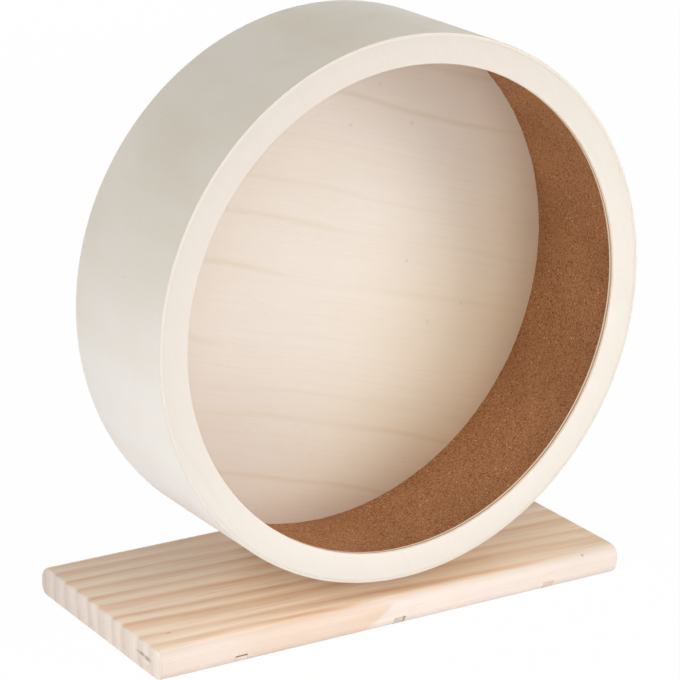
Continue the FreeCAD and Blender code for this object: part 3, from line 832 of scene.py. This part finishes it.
def addPiece(name, bm, body, node, finish, sharp=smoothTo):
    piece = addMesh(name, bm)
    piece.data.materials.append(finish)
    piece.data.shade_smooth()
    piece.data.set_sharp_from_angle(angle=radians(sharp))
    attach(piece, body)
    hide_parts(node)
    return piece


# the wheel; an ease or a round is its width and its steps

frontRing = {"opening": 147.0 * mm, "innerEase": (0.6 * mm, 4), "rimEase": (0.12 * mm, 2), "steps": 288}


def makeFrontRing():
    low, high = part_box("front_ring")
    outer, inner = halfWidth(low, high), frontRing["opening"]
    bm = bmesh.new()
    lathe(bm, sleeve(outer, inner, low, high), frontRing["steps"])
    mouth = circleEdges(bm, inner, low.y) + circleEdges(bm, inner, high.y)
    rim = circleEdges(bm, outer, low.y)
    ease(bm, mouth, *frontRing["innerEase"])
    ease(bm, rim, *frontRing["rimEase"])
    addPiece("frontRing", bm, "wheel", "front_ring", ringPlywood)


drumSkin = {"wall": 2.0 * mm, "seamAngle": -40.0, "seamGap": 0.15 * mm, "ease": (0.35 * mm, 3), "steps": 320}


def makeDrumSkin():
    gap = drumSkin["seamGap"] / rimRadius
    bm = bmesh.new()
    lathe(bm, sleeve(rimRadius, rimRadius - drumSkin["wall"], skinLow, skinHigh), drumSkin["steps"],
          tau - gap, radians(drumSkin["seamAngle"]) + 0.5 * gap)
    rims = circleEdges(bm, rimRadius, skinLow.y) + circleEdges(bm, rimRadius, skinHigh.y)
    ease(bm, rims, *drumSkin["ease"])
    addPiece("drumSkin", bm, "wheel", "drum_skin", skinWood)


corkLiner = {
    "thickness": 2.0 * mm, "seamAngle": 140.0, "seamGap": 0.5 * mm, "steps": 620, "rows": 58,
    "pits": 0.28 * mm, "grain": 520.0, "crumbs": 1.9, "crumbShift": (7.0, 3.0, 5.0), "crumbShare": 0.35,
    "bite": 0.6 * mm, "biteGrain": 390.0, "biteFrom": 0.05, "sharp": 60.0,
}


def makeCorkLiner():
    size = corkLiner
    low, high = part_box("cork_liner")
    outer = halfWidth(low, high)
    inner = outer - size["thickness"]
    gap = size["seamGap"] / inner
    bm = bmesh.new()
    lathe(bm, sleeve(outer, inner, low, high), size["steps"], tau - gap,
          radians(size["seamAngle"]) + 0.5 * gap)

    def within(vert):
        return fromAxle(vert.co) < 0.5 * (inner + outer)
    level = set(edgesAcross(bm, 1))
    across = [e for e in bm.edges if e not in level and within(e.verts[0])]
    bmesh.ops.subdivide_edges(bm, edges=across, cuts=size["rows"], use_grid_fill=True)
    # the face is pitted, and its edge at the disc is bitten
    for vert in filter(within, bm.verts):
        place = vert.co.copy()
        away = Vector((place.x - axle.x, 0.0, place.z - axle.z)).normalized()
        pit = 0.5 + 0.5 * noise.noise(place * size["grain"])
        crumb = 0.5 + 0.5 * noise.noise(place * size["grain"] * size["crumbs"] + Vector(size["crumbShift"]))
        vert.co += away * size["pits"] * ((1.0 - size["crumbShare"]) * pit + size["crumbShare"] * crumb)
        if place.y > high.y - tiny:
            bite = max(0.0, noise.noise(place * size["biteGrain"]) - size["biteFrom"])
            vert.co.y -= size["bite"] * bite
            vert.co += away * 0.5 * size["bite"] * bite
    bmesh.ops.recalc_face_normals(bm, faces=bm.faces)
    addPiece("corkLiner", bm, "wheel", "cork_liner", corkSheet, size["sharp"])


backDisc = {"rimEase": (0.3 * mm, 2), "steps": 288}


def makeBackDisc():
    low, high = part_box("back_disc")
    radius = halfWidth(low, high)
    bm = bmesh.new()
    disc = bmesh.ops.create_circle(bm, cap_ends=True, segments=backDisc["steps"], radius=radius)["verts"]
    bmesh.ops.rotate(bm, verts=disc, cent=(0.0, 0.0, 0.0), matrix=Matrix.Rotation(0.5 * pi, 3, "X"))
    bmesh.ops.translate(bm, verts=disc, vec=(axle.x, low.y, axle.z))
    thicken(bm, (0.0, high.y - low.y, 0.0))
    ease(bm, circleEdges(bm, radius, low.y) + circleEdges(bm, radius, high.y), *backDisc["rimEase"])
    addPiece("backDisc", bm, "wheel", "back_disc", discPlywood)


hubBlock = {"bore": 4.25 * mm, "rearRound": (1.0 * mm, 5), "steps": 96}


def makeHubBlock():
    low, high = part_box("hub_block")
    radius = halfWidth(low, high)
    bm = bmesh.new()
    lathe(bm, sleeve(radius, hubBlock["bore"], low, high), hubBlock["steps"])
    ease(bm, circleEdges(bm, radius, high.y), *hubBlock["rearRound"])
    addPiece("hubBlock", bm, "wheel", "hub_block", hubPlywood)


axleBolt = {
    "core": 3.42 * mm, "crest": 3.98 * mm, "pitch": 1.25 * mm, "threadFrom": 34.6 * mm, "point": 0.5 * mm,
    "headRadius": 10.0 * mm, "headHeight": 4.4 * mm, "headSide": 1.0 * mm, "steps": 64, "turnSteps": 40,
    "dome": ((0.62, 0.7 * mm), (0.25, 0.0)),  # share of the head's radius, distance from its front
    "toothHalf": 0.46, "crestHalf": 0.08,  # shares of the pitch
    "rootDepth": 0.1 * mm, "runOut": 0.1 * mm,
}


def makeAxleBolt():
    low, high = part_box("axle_bolt")
    size = axleBolt
    core, wide, end = size["core"], size["headRadius"], high.y
    bm = bmesh.new()
    # shank and the round head that the hub block hides
    head = low.y + size["headHeight"]
    outline = [(core - size["point"], end), (core, end - size["point"]), (core, head), (wide, head),
               (wide, head - size["headSide"])]
    outline += [(share * wide, low.y + y) for share, y in size["dome"]]
    lathe(bm, outline, size["steps"], closed=False)
    # one turn of thread after another, run off into the point
    pitch, root, crest = size["pitch"], core - size["rootDepth"], size["crest"]
    half, flat = size["toothHalf"] * pitch, size["crestHalf"] * pitch
    turns = int((end - size["point"] - size["threadFrom"]) / pitch)
    steps = turns * size["turnSteps"]
    rise = pitch * turns / steps
    tooth = [(root, -half), (crest, -flat), (crest, flat), (root, half)]
    base = end - size["point"] - rise * steps - size["runOut"]
    helix = [bm.verts.new((axle.x + r, base + y, axle.z)) for r, y in tooth]
    ridge = [bm.edges.new(pair) for pair in zip(helix, helix[1:] + helix[:1])]
    before = set(bm.faces)
    bmesh.ops.spin(bm, geom=helix + ridge, cent=axle, axis=(0.0, -1.0, 0.0), dvec=(0.0, rise, 0.0),
                   angle=tau * turns, steps=steps)
    fillHoles(bm)
    bmesh.ops.recalc_face_normals(bm, faces=[f for f in bm.faces if f not in before])
    addPiece("axleBolt", bm, "wheel", "axle_bolt", steel["nutSteel"])


makeFrontRing()
makeDrumSkin()
makeCorkLiner()
makeBackDisc()
makeHubBlock()
makeAxleBolt()
print("wheel made")


# the stand

baseBoard = {
    "frontRound": (7.0 * mm, 10), "rearRound": (9.2 * mm, 12), "bottomRound": (7.0 * mm, 8),
    "endEase": (2.5 * mm, 3),
    "grooveWidth": 8.0 * mm, "grooveHeight": 6.2 * mm, "grooveAt": (-109.0 * mm, 1.0 * mm, 111.0 * mm),
    "clear": 10.0 * mm,  # how far a groove's cutter stands out of the board
    "screwAt": (-22.0 * mm, 22.0 * mm), "screwBore": 2.2 * mm,
    "screwHoles": [(4.6 * mm, 4.4 * mm, 1.8 * mm, 40),  # lower radius, depth, middle height, sides
                   (2.2 * mm, 26.0 * mm, 12.0 * mm, 32)],
    "checks": [  # from and to (y, z), width, depth into the end, in mm
        (((-46.3, 10.5), (-55.0, 10.1)), 0.22, 0.5),
        (((-55.6, 10.1), (-63.2, 10.8)), 0.28, 0.6),
    ],
    "checkLead": 2.0 * mm, "checkRun": 0.03, "checkBelly": (0.35, 0.45),
}


def addBlock(bm, low, high):
    block = bmesh.ops.create_cube(bm, size=1.0)["verts"]
    bmesh.ops.scale(bm, verts=block, vec=high - low)
    bmesh.ops.translate(bm, verts=block, vec=0.5 * (low + high))


def cutAway(piece, bm):
    cutter = addMesh("cutter", bm)
    cut = piece.modifiers.new("cut", "BOOLEAN")
    cut.operation, cut.solver, cut.object = "DIFFERENCE", "EXACT", cutter
    graph = bpy.context.evaluated_depsgraph_get()
    made = bpy.data.meshes.new_from_object(piece.evaluated_get(graph))
    piece.modifiers.clear()
    made.name = piece.data.name + "Cut"
    piece.data = made
    made.set_sharp_from_angle(angle=radians(smoothTo))
    bpy.data.objects.remove(cutter)


def makeBaseBoard():
    low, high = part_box("base_board")
    size = baseBoard
    bm = bmesh.new()
    addBlock(bm, low, high)

    def long(y, z):
        return [e for e in bm.edges if all(abs(v.co.y - y) + abs(v.co.z - z) < tiny for v in e.verts)]
    ease(bm, long(low.y, high.z), *size["frontRound"])
    ease(bm, long(high.y, high.z), *size["rearRound"])
    ease(bm, long(low.y, low.z) + long(high.y, low.z), *size["bottomRound"])
    ease(bm, edgesAcross(bm, 0), *size["endEase"])
    piece = addPiece("baseBoard", bm, "stand", "base_board", boardPine)

    tools = bmesh.new()
    half, clear = 0.5 * size["grooveWidth"], size["clear"]
    for x in size["grooveAt"]:
        addBlock(tools, Vector((x - half, low.y - clear, -clear)),
                 Vector((x + half, high.y + clear, size["grooveHeight"])))
    screwLow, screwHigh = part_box("upright_screws")
    screwY = 0.5 * (screwLow.y + screwHigh.y)
    for x in size["screwAt"]:
        for radius, depth, z, sides in size["screwHoles"]:
            hole = bmesh.ops.create_cone(tools, cap_ends=True, segments=sides, radius1=radius,
                                         radius2=size["screwBore"], depth=depth)["verts"]
            bmesh.ops.translate(tools, verts=hole, vec=(x, screwY, z))
    cutAway(piece, tools)

    # drying checks in the left end, thin wedges that close inside the board
    lead, over, (upper, lower) = size["checkLead"], size["checkRun"], size["checkBelly"]
    for ends, width, depth in size["checks"]:
        wedge = bmesh.new()
        start, stop = [Vector((low.x - lead, y * mm, z * mm)) for y, z in ends]
        run = stop - start
        side = Vector((0.0, -run.z, run.y)).normalized() * 0.5 * width * mm
        corners = [start - over * run, start + upper * run + side,
                   stop + over * run, start + lower * run - side]
        wedge.faces.new([wedge.verts.new(c) for c in corners])
        thicken(wedge, (lead + depth * mm, 0.0, 0.0))
        cutAway(piece, wedge)


battens = {"endRound": 7.0 * mm, "arcSteps": 8, "ease": (0.2 * mm, 2), "play": {"leftBatten": 0.3 * mm}}


def makeBatten(name, node):
    low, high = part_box(node)
    low.x += battens["play"].get(name, 0.0)
    boardLow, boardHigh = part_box("base_board")
    radius, steps = battens["endRound"], battens["arcSteps"]
    # both ends follow the board's rounded lower edges, up to the batten's top
    last = acos(1.0 - (high.z - low.z) / radius)
    turns = [last * index / steps for index in range(steps + 1)]
    arc = [(radius * (1.0 - sin(turn)), low.z + radius * (1.0 - cos(turn))) for turn in turns]
    outline = [(boardLow.y + inset, z) for inset, z in arc]
    outline += [(boardHigh.y - inset, z) for inset, z in reversed(arc)]
    bm = bmesh.new()
    bm.faces.new([bm.verts.new((low.x, y, z)) for y, z in outline])
    thicken(bm, (high.x - low.x, 0.0, 0.0))
    ease(bm, edgesAcross(bm, 0), *battens["ease"])
    addPiece(name, bm, "stand", node, makeBattenWoodAndShade(name))


rearUpright = {"seat": 11.02 * mm, "ease": (1.5 * mm, 4), "topSteps": 48, "seatSteps": 72, "cornerFrom": 0.8}


def makeRearUpright():
    low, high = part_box("rear_upright")
    half = halfWidth(low, high)
    size = rearUpright
    bm = bmesh.new()

    def arc(radius, turn, steps):
        turns = [turn * index / steps for index in range(steps + 1)]
        return [bm.verts.new((axle.x + radius * cos(t), low.y, axle.z + radius * sin(t))) for t in turns]
    # the face is made in two halves that meet above and below the bearing's seat
    top = arc(half, pi, size["topSteps"])
    seat = arc(size["seat"], tau - tau / size["seatSteps"], size["seatSteps"] - 1)
    right, foot, left = [bm.verts.new((axle.x + x, low.y, low.z)) for x in (half, 0.0, -half)]
    crown, quarter = size["topSteps"] // 2, size["seatSteps"] // 4
    bm.faces.new([foot, right] + top[:crown + 1] + [seat[i] for i in range(quarter, -quarter - 1, -1)])
    bm.faces.new([left, foot] + [seat[i] for i in range(-quarter, -3 * quarter - 1, -1)] + top[crown:])
    thicken(bm, (0.0, high.y - low.y, 0.0))
    outline = [e for e in edgesAcross(bm, 1) if e.calc_face_angle(0.0) > size["cornerFrom"]
               and min(fromAxle(v.co) for v in e.verts) > 2.0 * size["seat"]
               and max(v.co.z for v in e.verts) > low.z + tiny]
    ease(bm, outline, *size["ease"])
    addPiece("rearUpright", bm, "stand", "rear_upright", postPine)


makeBaseBoard()
makeBatten("leftBatten", "left_batten")
makeBatten("middleBatten", "middle_batten")
makeBatten("rightBatten", "right_batten")
makeRearUpright()
print("stand made")


# small hardware keeps its CAD shape and gets its finish

hardware = {
    "zinc_steel": steel["zincSteel"], "bearing_steel": steel["bearingSteel"], "nylon": nylonInsert,
    "pressed_steel": steel["pressedSteel"], "hub_nut": steel["nutSteel"], "lock_nut": steel["nutSteel"],
}


def finishHardware():
    count = 0
    for row in frame["record"]["subparts"]:
        node = frame["nodes"][row["node"]]
        finish = hardware.get(row["node"], hardware.get(row["material_slot"]))
        if finish is None or node.hide_render:
            continue
        for materialSlot in node.material_slots:
            materialSlot.material = finish
        count += 1
    return count


print("hardware finished,", finishHardware(), "nodes")
